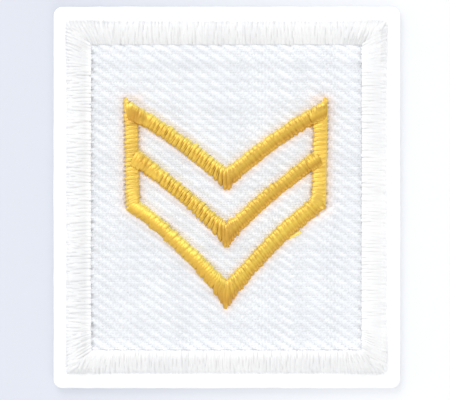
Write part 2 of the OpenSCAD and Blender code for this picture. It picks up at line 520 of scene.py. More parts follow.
def stitched_piece(name, node, threads, cores, material_slot, shades, tones=None):
    """One piece from the threads of a column and its cores, in the place of its CAD node."""
    thread_points, core_points = (np.concatenate([rods[0] for rods in part]) for part in (threads, cores))
    lengths = np.concatenate([rods[1] for rods in threads])
    shift = np.array([middle_x, 0, 0])
    tones = rng.random(len(lengths)) if tones is None else tones
    piece = joined_rods(name, THREAD_ROD, thread_points + shift, lengths, tones)
    core_lengths = np.full(len(cores), CORE_LENGTH)
    core = joined_rods(name + "_core", CORE_ROD, core_points + shift, core_lengths, np.zeros(len(cores)))
    with bpy.context.temp_override(active_object=piece, selected_editable_objects=[piece, core]):
        bpy.ops.object.join()
    shade = np.concatenate([s.reshape(-1, 3) for s in shades])
    if material_slot == "gold_thread":
        points = np.concatenate([thread_points.reshape(-1, 3), core_points.reshape(-1, 3)])
        shade = shade * spot_shade(points)
    keep_shades(piece, shade)
    print(name, len(lengths), "threads,", sum(len(p.vertices) - 2 for p in piece.data.polygons), "triangles")
    return hand_over(piece, node)


# %% [markdown]
# The gold bars. A bar stands upright and its rows lie level. At its lower end the rows turn, like the sticks
# of a fan, until they lie along the seam with the bottom chevron. At its upper end they go under the top
# chevron, which is sewn over them, so there they are short.

# %% Set out the two bars
bar_l = 11.2
bar_w = 1.5
bar_lean = 0.17
shoulder = 2.65
heel = 0.87
BAR_PITCH = 0.455
# Height over which the rows turn into the lower seam
HEEL_FAN = 2.6
# How much of the bar's width stays free at its tip, and the slopes of the top chevron's lower and upper edge
TIP_COVER = 0.42
COVER_SLOPE = 0.62
TIP_SLOPE = 0.52
# How far a covered row runs on under the top chevron
COVER_HOLD = 0.15
HOLE_RADIUS = 0.15
# How far both bars sit to the left of their places, and for the right and the left one how far its lower
# outer and inner corners are rounded and how much wider it is where it is covered
BAR_SHIFT = -0.06
HEEL_ROUND = {1: (0.18, 0.2, 0.05), -1: (0.05, 0.1, 0.0)}
# Heights over which the lower outer and inner corners are rounded
HEEL_RISE = (0.9, 1.0)
# How strong the painted light on the edges of a bar is
BAR_GLOW = 0.35


def outer_x(y):
    """X of the bar's outer side at height y."""
    return mark_w / 2 - bar_lean * (mark_top - y) / bar_l


def inner_x(y):
    """X of the bar's inner side at height y."""
    return outer_x(y) - bar_w


def rounded_x(y, corner):
    """X of the bar's outer side at height y, with its lower corner rounded."""
    return outer_x(y) - corner * (1 - ramp(y, heel_out[1], HEEL_RISE[0]))


tip = np.array([mark_w / 2, mark_top])
heel_out = np.array([mark_w / 2 - bar_lean, mark_top - bar_l])
inner_top, inner_low = (np.array([inner_x(y), y]) for y in (mark_top - shoulder, mark_top - bar_l + heel))
# Where the top chevron's lower edge comes out on the bar's outer side, if it ran on straight
cover_y = inner_top[1] + COVER_SLOPE * (bar_w - TIP_COVER)


def bar_height(share):
    """Height of a bar's surface at a share of the way across."""
    return stitch_z + gold_rise * dome(share, BAR_FULLNESS)


def bar_reach(y):
    """How far across the bar a row gets at height y before the top chevron covers it."""
    under = 1 - (y - inner_top[1]) / (cover_y - inner_top[1]) * (1 - TIP_COVER / bar_w)
    below_tip = ((mark_top - y) / TIP_SLOPE + COVER_HOLD) / bar_w
    return np.minimum(np.clip(under, TIP_COVER / bar_w, 1), below_tip)


def bar_shade(share, side):
    """The painted light and shade of a bar at a share of the way from its outer to its inner edge."""
    across = np.interp(share, ACROSS, BAR_SHADES[side])[..., None]
    return across * BAR_GOLD * gold_shade(share, BAR_GLOW, BAR_GLOW)


print(f"bars {bar_l} by {bar_w} mm, covered from {inner_top[1]:.2f} mm up")

# %% [markdown]
# Both bars are worked out on the right, and one of them is mirrored. A core of padding goes under the rows.

# %% Sew the two bars
# How far the rows run on below the heel and stop below the tip, how far a covered row dives, where a free one
# has 1, and how strong the pits along the outer and the inner edge are
HEEL_OVERRUN = 0.03
TIP_INSET = 0.06
COVERED_DIVE = 0.6
BAR_PITS = (0.9, 0.8)
# The stretch of the bar's outer side along which the core runs, as a start and a length in shares, how far
# inside of that side it stays, and how far below the surface it lies
BAR_CORE = (0.01, 0.93)
BAR_CORE_INSET = 0.05
BAR_CORE_DROP = 0.07


def sew_bar(name, node, side):
    """One bar. side is 1 for the right one and -1 for the left one."""
    outer_y, inner_y = zigzag(heel_out[1] - HEEL_OVERRUN, mark_top - TIP_INSET, BAR_PITCH)
    inner_y = inner_y + heel * (1 - ramp(inner_y, heel_out[1], HEEL_FAN))
    reach = bar_reach(inner_y)
    covered = reach < 1
    mirror = np.array([side, 1])
    round_out, round_in, wider = HEEL_ROUND[side]
    inner_at = outer_x(inner_y) - bar_w * np.minimum(reach + COVER_HOLD, 1) - wider * ~covered
    inner_at = inner_at - round_in * (1 - ramp(inner_y, inner_low[1], HEEL_RISE[1]))
    outer = np.stack([rounded_x(outer_y, round_out), outer_y], axis=1) * mirror
    inner = np.stack([inner_at, inner_y], axis=1) * mirror
    for feet in (outer, inner):
        feet[:, 0] += BAR_SHIFT
    dive = np.where(covered, COVERED_DIVE, 1.0)
    threads = [satin(outer, inner, bar_height, reach=reach, dive=dive, look=BAR_LOOK)]
    pierce(outer, inner, HOLE_RADIUS, BAR_PITS[0], GOLD_PIT)
    pierce(inner[~covered], outer[~covered], HOLE_RADIUS, BAR_PITS[1], GOLD_PIT)
    rows = np.linspace(0, 1, CORE_ROD["steps"] + 1)[:, None]
    outer_edge = mixed(heel_out, tip, BAR_CORE[0] + BAR_CORE[1] * rows)
    outer_edge[:, 0] = rounded_x(outer_edge[:, 1], round_out + BAR_CORE_INSET)
    inner_edge = mixed(inner_low, inner_top, rows)
    cores = [padding(outer_edge * mirror, inner_edge * mirror, bar_height, core_floor, BAR_CORE_DROP)]
    shades = [bar_shade(share, side) for share in (threads[0][2], cores[0][1])]
    return stitched_piece(name, node, threads, cores, "gold_thread", shades)


left_bar = sew_bar("left_bar_threads", "left_bar", -1)
right_bar = sew_bar("right_bar_threads", "right_bar", 1)

# %% [markdown]
# The gold chevrons. The rows of a chevron stand upright on the middle line and lean in along the arms. That
# lean decides how the light runs over them: the left arms show every thread and the right ones look smooth.
# At its ends each chevron does something else. The top one is sewn over the bars with upright rows, the
# middle one fans out onto the bars' inner sides, and the bottom one takes over the slant of the seam.
# The two edges are gentle bows, as in the part's source.

# %% Write down the three chevrons
ARM_PITCH = 0.40
ARM_LEAN = 0.95
SEAM_FAN = 2.4
POINT_FAN = 1.6
# Where an arm's upper edge starts to come to its raised height and over what width, as shares of the arm, the
# width of the rounded lower corner, and how far it is drawn in for each millimetre that it is raised
RAISE_SPAN = (0.15, 0.5)
CORNER_SPAN = 1.3
CORNER_PULL = 1.1
# How far the rows reach past the lower edge at the point, and over what width
POINT_REACH = 0.2
POINT_WIDTH = 0.45
LOWER_REACH = 0.06
middle_seat = 5.3
middle_seat_h = 2.05
# Each chevron has the depth of its notch, the height of its point and the bows of its two edges. over is how
# far its upper and lower edges run on over the bars, raised how far the upper edges of its left and right
# arms lie above the even bow, corner how much its lower right corner is rounded, blunt how much of its point
# is missing, fray how far the ends of the left arm come loose, smooth how smooth the left and the right arm
# lie, calm how long the smooth start of the left arm is, and low how much painted shade darkens the left and
# the right arm from their upper to their lower edge, where a value below 0 is painted light instead.
UPPER_LOW = ((0, 0, 0.1, 0.7, 0.55, 0.3, 0.3, 0.55, 0.4), (0, 0, 1.0, 0.4, 0.4, 0.75, 1.4, 0.9, 0.6))
BOTTOM_LOW = (
    (0, -0.2, -0.5, 0.15, 0.55, 0.75, 0.9, 0.65, 0.4),
    (0, 0.5, 0.7, -0.15, -0.25, 0.05, 1.0, 1.2, 0.7),
)
CHEVRONS = {
    "top_chevron": {
        "notch": 7.04, "point": 2.3, "bow": 0.24, "under_bow": 0.27,
        "over": (-0.3, 1.12), "raised": (-0.05, 0), "corner": 0, "blunt": 0.12, "fray": 0.04,
        "smooth": (0.08, 0.85), "calm": 1.6, "low": UPPER_LOW,
    },
    "middle_chevron": {
        "notch": 12.5, "point": 2.5, "bow": 0.05, "under_bow": 0.24,
        "over": (0.0, 1.0), "raised": (0.07, 0), "corner": 0, "blunt": 0, "fray": 0.04,
        "smooth": (0.1, 0.85), "calm": 1.8, "low": UPPER_LOW,
    },
    "bottom_chevron": {
        "notch": 18.36, "point": 2.86, "bow": 0.2, "under_bow": 0.37,
        "over": (0.16, 0.06), "raised": (-0.1, 0.38), "corner": 0.12, "blunt": 0, "fray": 0.15,
        "smooth": (1, 0.5), "calm": 0.0, "low": BOTTOM_LOW,
    },
}
seat_y = mark_top - middle_seat
CHEVRON_ENDS = {
    "top_chevron": (tip, inner_top),
    "middle_chevron": (
        np.array([inner_x(seat_y), seat_y]),
        np.array([inner_x(seat_y - middle_seat_h), seat_y - middle_seat_h]),
    ),
    "bottom_chevron": (inner_low, heel_out),
}
print("notches below the tips in mm:", [form["notch"] for form in CHEVRONS.values()])

# %% [markdown]
# Each row has two feet, one on the chevron's upper and one on its lower edge. The lean of the row sets them
# apart: none at the point, full along an arm, and turned into the seam at the ends.


# %% Find the feet of the rows
def edge_y(x, end, middle_y, bow):
    """Height of a chevron's edge at x. It runs from end on the bar to middle_y on the middle line."""
    v = np.abs(x) / end[0]
    return mixed(end[1], middle_y, 1 - v - bow * v * (1 - v))


def chevron_feet(upper_m, lower_m, form, upper_end, lower_end):
    """Feet of the rows whose middles are at upper_m and lower_m, as arrays of xy on the two edges."""
    upper_reach = upper_end[0] + form["over"][0]
    lower_reach = lower_end[0] + form["over"][1]
    reach = (upper_reach + lower_reach) / 2
    seam_lean = lower_reach - upper_reach

    def lean(m):
        turned = ease((reach - np.abs(m)) / SEAM_FAN)
        return seam_lean * (1 - turned) + ARM_LEAN * turned * ease(np.abs(m) / POINT_FAN)

    upper_x = upper_m - np.sign(upper_m) * lean(upper_m) / 2
    lower_x = lower_m + np.sign(lower_m) * lean(lower_m) / 2
    notch_y = mark_top - form["notch"]
    point_y = notch_y - form["point"]
    out = ramp(np.abs(upper_x) / upper_end[0], *RAISE_SPAN)
    up_y = edge_y(upper_x, upper_end, notch_y, form["bow"]) + np.where(upper_x < 0, *form["raised"]) * out
    rounding = form["corner"] * (1 - ease((lower_end[0] - lower_x) / CORNER_SPAN))
    low_y = edge_y(lower_x, lower_end, point_y, form["under_bow"]) + rounding
    lower_x = lower_x - CORNER_PULL * rounding
    low_y = np.maximum(low_y - POINT_REACH * fade(lower_x, POINT_WIDTH), point_y + form["blunt"])
    return np.stack([upper_x, up_y], axis=-1), np.stack([lower_x, low_y], axis=-1)


# %% [markdown]
# One thread has come loose on the photo's patch. It is a single rod, and it lies on the twill.

# %% Lay the loose end
# Where it starts and ends, its thickness, width and shade, and how high it starts
WISP = ((7.52, -3.45), (6.15, -4.12))
WISP_THICK = 0.13
WISP_WIDTH = 0.36
WISP_SHADE = (1.0, 1.2, 2.2)
WISP_LIFT = 0.12
print(f"loose end {math.dist(*WISP):.2f} mm long")


def loose_thread():
    """The fine loose end that lies on the twill below the right arm of the bottom chevron."""
    along = np.linspace(0, 1, THREAD_ROD["steps"] + 1)
    x, y = (mixed(first, last, along) for first, last in zip(*WISP))
    z = cloth_top + WISP_THICK / 2 + WISP_LIFT * (1 - along) ** 2
    narrow = 0.5 + 0.5 * ease(along / 0.2)
    paths = np.stack([x, y, z], axis=1)[None]
    rod = bend_rods(THREAD_ROD, paths, np.array([WISP_WIDTH]), np.array([WISP_THICK]), narrow)
    return rod, np.array([math.dist(*WISP)]), np.full(rod.shape[:2], 0.5)


# %% [markdown]
# An arm has its own painted light and shade. The left arms show each thread, with dark gaps between the
# upper ones that painted shade deepens, and the right arms shine evenly and have a band of painted shade.
# The rows are then sewn from bar to bar in one go.

# %% Sew the three chevrons
# How much darker painted shade makes the right arms in a band, and where the band lies across them
RIGHT_DIM = 0.2
DIM_PLACE = 0.27
DIM_WIDTH = 0.12
# How much darker painted shade makes the padding of the left arms, where it shows in the gaps between the
# threads
LEFT_CORE_DARK = 0.18
# How strong the painted light on the upper edge of the left and the right arm is, and on the lower edge of
# both
UPPER_GLOW = (1.05, 0.65)
LOWER_GLOW = 0.12
# How near two threads come to each other at their upper ends, and at their lower ends on the left and the
# right arm, and how strong the pits along the upper edge are
ARM_MEET = (0.5, 0.45, 0.3)
ARM_PITS = 0.3
# Where on the left arms the lower ends of the threads come loose, from x to x
FRAYED = (-8.0, -1.2)
# How much of a bar's height lifts the upper end of a row on it, above what lift the lower end of a row counts
# as lying on the bar, how far that end then dives, and how far below its tip a bar begins to lift rows
UPPER_LIFT = 0.5
ON_BAR = 0.1
ON_BAR_DIVE = 0.4
TIP_CLEAR = 0.3
# Widths over which the smooth left and right end of a chevron turn into its arms
SETTLING = (1.4, 1.5)
# The span of tones of the threads on top, the highest tone of those underneath, which is low as painted
# shade, and the smoothness from which on all of them count as lying on top
TOP_TONES = (0.55, 1.0)
UNDER_TONE = 0.35
ROUGH_BELOW = 0.35
# How far a chevron's core stops short of its ends
ARM_CORE_INSET = 0.1


def over_bar(feet):
    """How high the bar's dome stands under feet that lie on a bar, and 0 beside it."""
    x, y = np.abs(feet[:, 0]), feet[:, 1]
    share = np.clip((outer_x(y) - x) / bar_w, 0, 1)
    return gold_rise * dome(share, BAR_FULLNESS) * (y < mark_top - TIP_CLEAR)


def arm_height(share):
    """Height of an arm's surface at a share of the way from its upper to its lower edge."""
    return stitch_z + gold_rise * dome(share, ARM_FULLNESS)


def arm_shade(share, x, form):
    """The painted light and shade of a chevron at a share of the way across and at x."""
    right_side = on_right(x)
    low = mixed(*(np.interp(share, ACROSS, side_low) for side_low in form["low"]), right_side)
    dim = 1 - RIGHT_DIM * right_side * fade(share - DIM_PLACE, DIM_WIDTH)
    return gold_shade(share, mixed(*UPPER_GLOW, right_side), LOWER_GLOW, low) * dim[..., None]


def sew_chevron(node):
    """One chevron, from its end on the left bar to its end on the right bar."""
    form = CHEVRONS[node]
    ends = CHEVRON_ENDS[node]
    reach = (ends[0][0] + ends[1][0] + sum(form["over"])) / 2
    upper_m, lower_m = zigzag(-reach, reach, ARM_PITCH, meet=ARM_MEET)
    upper, lower = chevron_feet(upper_m, lower_m, form, *ends)
    loose = np.repeat(rng.random(len(lower) // 2 + 1), 2)[: len(lower)]
    on_left_arm = (lower[:, 0] < FRAYED[1]) & (lower[:, 0] > FRAYED[0])
    lower[:, 1] -= LOWER_REACH + form["fray"] * loose * on_left_arm
    # The bottom chevron only touches the bars, so they lift none of its rows
    on_bar = node != "bottom_chevron"
    lift = (on_bar * over_bar(upper) * UPPER_LIFT, on_bar * over_bar(lower))
    dive = np.where(lift[1] > ON_BAR, ON_BAR_DIVE, 1.0)
    settled = ramp(upper_m + reach, form["calm"], SETTLING[0]) * ramp(reach - upper_m, 0, SETTLING[1])
    smooth = np.maximum(mixed(*form["smooth"], on_right(upper_m)), 1 - settled)
    threads = [satin(upper, lower, arm_height, lift=lift, dive=dive, smooth=smooth)]
    pierce(upper, lower, HOLE_RADIUS, ARM_PITS, GOLD_PIT)
    along = np.linspace(-reach + ARM_CORE_INSET, reach - ARM_CORE_INSET, CORE_ROD["steps"] + 1)
    cores = [padding(*chevron_feet(along, along, form, *ends), arm_height, core_floor)]
    # On the left arms the threads underneath lie in shadow, and their low tone is painted shade
    tones = rng.uniform(*TOP_TONES, len(upper_m))
    under = (np.arange(len(upper_m)) % 2 == 1) & (smooth < ROUGH_BELOW)
    tones[under] = UNDER_TONE * rng.random(under.sum())
    shades = [arm_shade(threads[0][2], upper_m[:, None], form)]
    if node == "bottom_chevron":
        threads.append(loose_thread())
        shades.append(np.ones(threads[1][0].shape) * WISP_SHADE)
        tones = np.append(tones, 1.0)
    core_x = cores[0][0][:, :, 0]
    core_dark = 1 - LEFT_CORE_DARK * (1 - on_right(core_x))
    shades.append(arm_shade(cores[0][1], core_x, form) * core_dark[..., None])
    return stitched_piece(node + "_threads", node, threads, cores, "gold_thread", shades, tones)


chevrons = [sew_chevron(node) for node in CHEVRONS]

# %% [markdown]
# The white border. Its rows run across the edge of the cloth: the inner end goes down through the twill and
# the outer end goes over the cut edge down to the backing. At the corners the rows turn, and those that
# would cross the corner's diagonal stop on it, so each run closes against the next.

# %% Sew the border
side_w = 2.55
end_w = 2.36
half_w = border_w / 2
half_l = border_l / 2
BORDER_PITCH = 0.36
CORNER_FAN = 4.8
CORNER_LEAN = math.radians(32)
MITRE_OVERLAP = 0.12
OUTER_FULLNESS = 4.2
INNER_FULLNESS = 2.2
INNER_STEP = 0.02
# A hole in the twill is a little longer than wide, so it is made of two pits, so far from the border
HOLE_REACHES = (0.07, 0.18)
BORDER_HOLE_RADIUS = 0.125
# How far the rows stop short of a corner, how much their places vary, and how far their inner ends dive on a
# corner's diagonal and elsewhere
CORNER_INSET = 0.1
BORDER_WANDER = 0.035
BORDER_DIVES = (0.3, 0.5)
# How far the cores lie below the surface and reach down below the skirt
BORDER_CORE_DROP = 0.05
BORDER_CORE_SINK = 0.01
# The way from the middle of the patch to each run, how strong the holes along its inner edge are, how much
# painted light whitens its outer edge, its inner edge and its middle, where below 0 is painted shade, how
# near two threads come to each other at the two edges, and how much their heights differ, as a share of
# what WHITE_LOOK says
BORDER_RUNS = [
    ((-1.0, 0.0), 0.65, (0.06, 0.3), (0.8, 1.0), 1.25),
    ((1.0, 0.0), 0.25, (0.26, 0.16), (0.4, 0.7), 0.15),
    ((0.0, 1.0), 0.04, (0.0, 0.09), (0.4, 0.5), 1.0),
    ((0.0, -1.0), 0.0, (0.13, 0.16, -0.05), (0.4, 0.3), 1.0),
]
skirt_z = felt_top + 0.02
border_crest = border_high[2]


def border_height(share):
    """Height of the border's surface at a share of the way from its outer to its inner edge.

    The outer side drops down to the backing. The inner side falls gently and ends a little above the twill.
    """
    outside = mixed(skirt_z, border_crest, dome(share, OUTER_FULLNESS))
    inside = mixed(stitch_z + INNER_STEP, border_crest, 1 - np.abs(2 * share - 1) ** INNER_FULLNESS)
    return np.where(np.less(share, 0.5), outside, inside)


def border_run(outward, holes, glow, meet, uneven):
    """Threads of one run and its core, and the shades of both. BORDER_RUNS explains what sets a run apart."""
    outward = np.array(outward)
    along = np.abs(outward[::-1])
    half_length, half_across, width, other_width = (
        (half_l, half_w, side_w, end_w) if outward[0] else (half_w, half_l, end_w, side_w)
    )
    centre_out = outward * half_across
    last = half_length - CORNER_INSET
    outer_m, inner_m = zigzag(-last, last, BORDER_PITCH, wander=BORDER_WANDER, meet=meet)
    from_corner = half_length - np.abs(inner_m)
    lean = CORNER_LEAN * (1 - np.clip(from_corner / CORNER_FAN, 0, 1) ** 2)
    drop = width * np.tan(lean)
    share = np.minimum(from_corner / np.maximum(other_width - drop, 1e-3), 1)
    cut = share < 1
    far = np.minimum(share + MITRE_OVERLAP * cut, 1)
    inner_along = inner_m - np.sign(inner_m) * drop * share
    outer = centre_out + outer_m[:, None] * along
    inner = centre_out + inner_along[:, None] * along - (width * far)[:, None] * outward
    look = {**WHITE_LOOK, **{key: WHITE_LOOK[key] * uneven for key in ("ripple", "scatter")}}
    dive = np.where(cut, *BORDER_DIVES)
    threads = satin(outer, inner, border_height, reach=far, dive=dive, look=look)
    for reach in HOLE_REACHES:
        pierce(inner[~cut], outer[~cut], BORDER_HOLE_RADIUS, holes, WHITE_PIT, spread=0.5, inward=-reach)
    steps = np.linspace(-1, 1, CORE_ROD["steps"] + 1)[:, None]
    outer_edge = centre_out + steps * half_length * along
    inner_edge = centre_out + steps * (half_length - other_width) * along - width * outward
    core = padding(outer_edge, inner_edge, border_height, skirt_z - BORDER_CORE_SINK, BORDER_CORE_DROP)
    return threads, core, white_shade(threads[2], *glow), white_shade(core[1], *glow)


threads, cores, thread_shades, core_shades = zip(*(border_run(*run) for run in BORDER_RUNS))
border_shades = [*thread_shades, *core_shades]
border = stitched_piece("border_threads", "border", threads, cores, "white_thread", border_shades)

# %% [markdown]
# The twill ground. Its warp yarns lie level and float over three weft yarns and under one. Each yarn does so
# one weft further to the right than the yarn above it, and that is what draws the slanted ribs. The yarns
# are real here, because ribs that are only painted look flat as soon as the light comes from the side.
# They cover what shows inside the border, and a plain body carries them and fills the rest of the cloth.

# %% Weave the warp
WARP_PITCH = 0.236
WEFT_PITCH = 0.347
TUCK = 0.1
WARP_THICK = 0.11
WARP_DEPTH = 0.13
# How far the floats lie below the top of the cloth, and how wide a warp and a weft yarn are and how much that
# varies, as shares of their pitch
WARP_SINK = 0.02
WARP_WIDTH = 1.65
WEFT_WIDTH = 0.94
YARN_SCATTER = 0.04
# How far a warp yarn wanders, slowly over the cloth and on its own, how uneven its height is, and how much
# its depth in the hollows varies
WARP_WANDER = (0.02, 0.012)
WARP_UNEVEN = 0.006
HOLLOW_SCATTER = 0.25
# How far a yarn yields to its neighbours: 0 keeps a step between two yarns and 1 lets them meet smoothly
YARN_YIELD = 0.85
# Stations of one float in wefts: at 0 the warp goes under a weft, and 4 is the next such place
FLOAT_STATIONS = [0, 0.55, 1.15, 2.0, 2.85, 3.45]
FLOAT_SHARPNESS = 1.4
window_w = border_w - 2 * side_w
window_l = border_l - 2 * end_w
warp_count = int((window_l + 6 * TUCK) / WARP_PITCH)
span = (window_w + 2 * TUCK) / WEFT_PITCH + 3
stations = np.array([4 * k + s for k in range(int(span) // 4 + 1) for s in FLOAT_STATIONS])
stations = stations[stations <= span + 0.1]
WARP_ROD = rod_pattern(sides=6, steps=len(stations) - 1)


def floating(stations):
    """1 where a warp yarn floats and 0 where it goes under, at stations counted in wefts."""
    return 1 - (0.5 + 0.5 * np.cos(np.pi / 2 * stations)) ** FLOAT_SHARPNESS


def drift(x, y, size, seed):
    """A slow random drift between -1 and 1 over the cloth."""
    flat = [noise.noise(Vector((a / size, b / size, seed))) for a, b in zip(x.ravel(), y.ravel())]
    return np.array(flat).reshape(x.shape)


rows = np.arange(warp_count)
row_y = ((warp_count - 1) / 2 - rows) * WARP_PITCH
first_weft = -span / 2 - 1.5
warp_x = (stations[None, :] + first_weft + (rows % 4)[:, None]) * WEFT_PITCH
warp_y = np.broadcast_to(row_y[:, None], warp_x.shape)
slow, own = drift(warp_x, warp_y, 2.5, 3.1), drift(warp_x, warp_y * 9, 1.2, 8.4)
warp_y = warp_y + WARP_WANDER[0] * slow + WARP_WANDER[1] * own
warp_z = cloth_top - WARP_SINK - WARP_THICK / 2 - WARP_UNEVEN * drift(warp_x * 2, warp_y * 9, 1.0, 5.7)
warp_paths = np.stack([warp_x + middle_x, warp_y, warp_z], axis=2)
warp_wide = WARP_PITCH * rng.normal(WARP_WIDTH, YARN_SCATTER, warp_count)
warp_points = bend_rods(WARP_ROD, warp_paths, warp_wide, np.full(warp_count, WARP_THICK))
row_at = (warp_count - 1) / 2 - warp_points[:, :, 1] / WARP_PITCH
row_at = mixed(rows[:, None], row_at, YARN_YIELD)
station_at = (warp_points[:, :, 0] - middle_x) / WEFT_PITCH - first_weft - row_at
tucked = 1 - floating(station_at)
depth = WARP_DEPTH * (1 + HOLLOW_SCATTER * drift(warp_points[:, :, 0], warp_points[:, :, 1], 1.6, 6.3))
warp_points[:, :, 2] -= depth * tucked
print("warp:", warp_count, "yarns with", len(stations), "stations each")

# %% [markdown]
# The weft crosses under the floats and comes up for a moment where a warp yarn goes under it.

# %% Weave the weft
WEFT_THICK = 0.12
WEFT_LOW = WARP_THICK / 2 + 0.17
WEFT_LIFT = 0.05
WEFT_WANDER = 0.02
weft_index = np.arange(int(span) + 3)
weft_index = weft_index[np.abs(weft_index + first_weft) < window_w / WEFT_PITCH / 2 + 1]
weft_count = len(weft_index)
WEFT_ROD = rod_pattern(sides=6, steps=warp_count - 1)
crossing = (weft_index[:, None] - rows[None, :]) % 4 == 0
weft_z = cloth_top - WEFT_LOW + WEFT_LIFT * crossing
weft_y = np.broadcast_to(row_y[None, :], weft_z.shape)
weft_x = np.broadcast_to((weft_index + first_weft)[:, None] * WEFT_PITCH, weft_z.shape)
weft_x = weft_x + WEFT_WANDER * drift(weft_x * 5, weft_y, 2.0, 1.7)
weft_paths = np.stack([weft_x + middle_x, weft_y, weft_z], axis=2)
weft_wide = WEFT_PITCH * rng.normal(WEFT_WIDTH, YARN_SCATTER, weft_count)
weft_points = bend_rods(WEFT_ROD, weft_paths, weft_wide, np.full(weft_count, WEFT_THICK))
print("weft:", weft_count, "yarns")

# %% [markdown]
# Needle pits. Where the satin goes through the twill, the thread pulls the yarns down and leaves a small pit
# beside each hole. The yarns are pushed down here. They also keep a colour for each point, with painted
# shade that is dark in a pit and a little darker where a yarn goes under, and the twill's material
# multiplies its own colour by it.

# %% Pull the twill down at the needle holes
PIT_DEPTH = 0.2
# Single holes that show in the photo: one above each tip of the bars, one in the middle chevron's notch and
# one beside each of its ends
single_pits = [
    (-10.22, 9.93, 0.16, 1.0, *GOLD_PIT),
    (10.2, 9.93, 0.14, 0.8, *GOLD_PIT),
    (-0.3, -2.55, 0.16, 1.0, *GOLD_PIT),
    (8.62, 4.6, 0.18, 1.0, *GOLD_PIT),
    (-8.72, 2.9, 0.16, 0.9, *GOLD_PIT),
]
holes = np.array(needle_pits + single_pits) + [middle_x, 0, 0, 0, 0, 0, 0]


def pits(points, holes):
    """Pushes points down near the holes and returns the painted shade of each, as red, green and blue."""
    flat = points.reshape(-1, 3)
    down = np.zeros(len(flat))
    shades = np.ones((len(flat), 3))
    order = np.argsort(flat[:, 0])
    sorted_x = flat[order, 0]
    for x, y, radius, strength, *shade in holes:
        first, last = np.searchsorted(sorted_x, [x - radius, x + radius])
        near = order[first:last]
        away = np.hypot(flat[near, 0] - x, flat[near, 1] - y) / radius
        deep = strength * (1 - np.clip(away, 0, 1) ** 2)
        down[near] = np.maximum(down[near], deep)
        shades[near] = np.minimum(shades[near], 1 - deep[:, None] * (1 - np.array(shade)))
    flat[:, 2] -= PIT_DEPTH * down
    return shades


warp_shade = pits(warp_points, holes)
weft_shade = pits(weft_points, holes)
print(len(holes), "needle pits in the twill")

# %% [markdown]
# Painted light on the white cloth beside the gold: a painted reflection of the gold, warm close by and
# cooler further off, and painted light that makes the cloth paler under the lower edges, which makes up for
# a part of their shadow.

# %% Paint the gold's reflection and light on the twill beside it
# How the painted reflection of the gold changes the cloth's colour beside it, close to it and further off,
# and over what widths
CLOSE_TINT = (0.05, -0.01, -0.065)
CLOSE_WIDTH = 0.4
WIDE_TINT = (0.03, -0.023, -0.022)
WIDE_WIDTH = 0.72
# How much paler painted light makes the cloth under the lower edges, which makes up for their shadow, and
# over what width, on both sides and on the right one
SHADE_LIFT = 0.14
LIFT_WIDTH = 0.3
RIGHT_LIFT = (0.18, 0.16, 0.13)
RIGHT_LIFT_WIDTH = 0.75
# A distance at which nothing of this shows, in millimetres
FAR_AWAY = 9.0


def beside_gold(points):
    """The painted reflection and light on the cloth beside the gold columns, one colour for each point."""
    x, y = (points.reshape(-1, 3) - [middle_x, 0, 0]).T[:2]
    away = np.full(x.shape, FAR_AWAY)
    under = np.full(x.shape, FAR_AWAY)
    for node, form in CHEVRONS.items():
        upper_end, lower_end = CHEVRON_ENDS[node]
        notch_y = mark_top - form["notch"]
        below = edge_y(x, lower_end, notch_y - form["point"], form["under_bow"]) - y
        above = y - edge_y(x, upper_end, notch_y, form["bow"])
        off_end = np.maximum(np.abs(x) - lower_end[0], 0)
        away = np.minimum(away, np.hypot(np.maximum(np.maximum(below, above), 0), off_end))
        under = np.minimum(under, np.where(below > 0, np.hypot(below, off_end), FAR_AWAY))
    aside = np.maximum(np.abs(x) - outer_x(y), inner_x(y) - np.abs(x))
    off_height = np.maximum(np.maximum(y - mark_top, heel_out[1] - y), 0)
    away = np.minimum(away, np.hypot(np.maximum(aside, 0), off_height))[:, None]
    tint = fade(away, CLOSE_WIDTH) * np.array(CLOSE_TINT) + fade(away, WIDE_WIDTH) * np.array(WIDE_TINT)
    under = under[:, None]
    right_lift = fade(under, RIGHT_LIFT_WIDTH) * on_right(x[:, None], 1.0) * np.array(RIGHT_LIFT)
    return (1 + tint) * (1 + SHADE_LIFT * fade(under, LIFT_WIDTH) + right_lift)


warp_shade *= beside_gold(warp_points)
weft_shade *= beside_gold(weft_points)
print(f"the gold tints {np.mean(warp_shade[:, 2] < 0.99 * warp_shade[:, 0]):.0%} of the warp's points")

# %% [markdown]
# No yarn is one even white. Fine streaks run along the ribs, soft patches lie across them, and single spots
# differ a little. Painted shade makes the hollows darker, and painted light makes the strips beside the
# border's ends paler.

# %% Shade the yarns and make their meshes
# How much darker painted shade makes the cloth in the hollows where a warp yarn goes under
GAP_SHADE = 0.12
# How much the cloth's shade varies in streaks along its ribs, from spot to spot on a yarn, and in patches
RIB_STREAK = 0.05
YARN_FLECK = 0.012
MOTTLE = 0.045
# How much paler painted light makes the cloth beside the top and bottom runs of the border, and over what
# width
BORDER_GLOW = 0.09
BORDER_GLOW_WIDTH = 0.9
RIB_SLOPE = math.atan(WARP_PITCH / WEFT_PITCH)
flecks = 1 + rng.normal(0, YARN_FLECK, warp_z.shape)[:, WARP_ROD["ring"]]
rib_x, rib_y = warp_points[:, :, 0], warp_points[:, :, 1]
along_rib = rib_x * math.cos(RIB_SLOPE) - rib_y * math.sin(RIB_SLOPE)
across_rib = rib_x * math.sin(RIB_SLOPE) + rib_y * math.cos(RIB_SLOPE)
streaks = 1 + RIB_STREAK * drift(along_rib / 8, across_rib, 0.22, 2.6)
mottle = 1 + MOTTLE * drift(rib_x, rib_y, 0.4, 4.9)
end_glow = 1 + BORDER_GLOW * fade(window_l / 2 - np.abs(rib_y), BORDER_GLOW_WIDTH)
warp_tint = flecks * streaks * mottle * end_glow * (1 - GAP_SHADE * tucked)


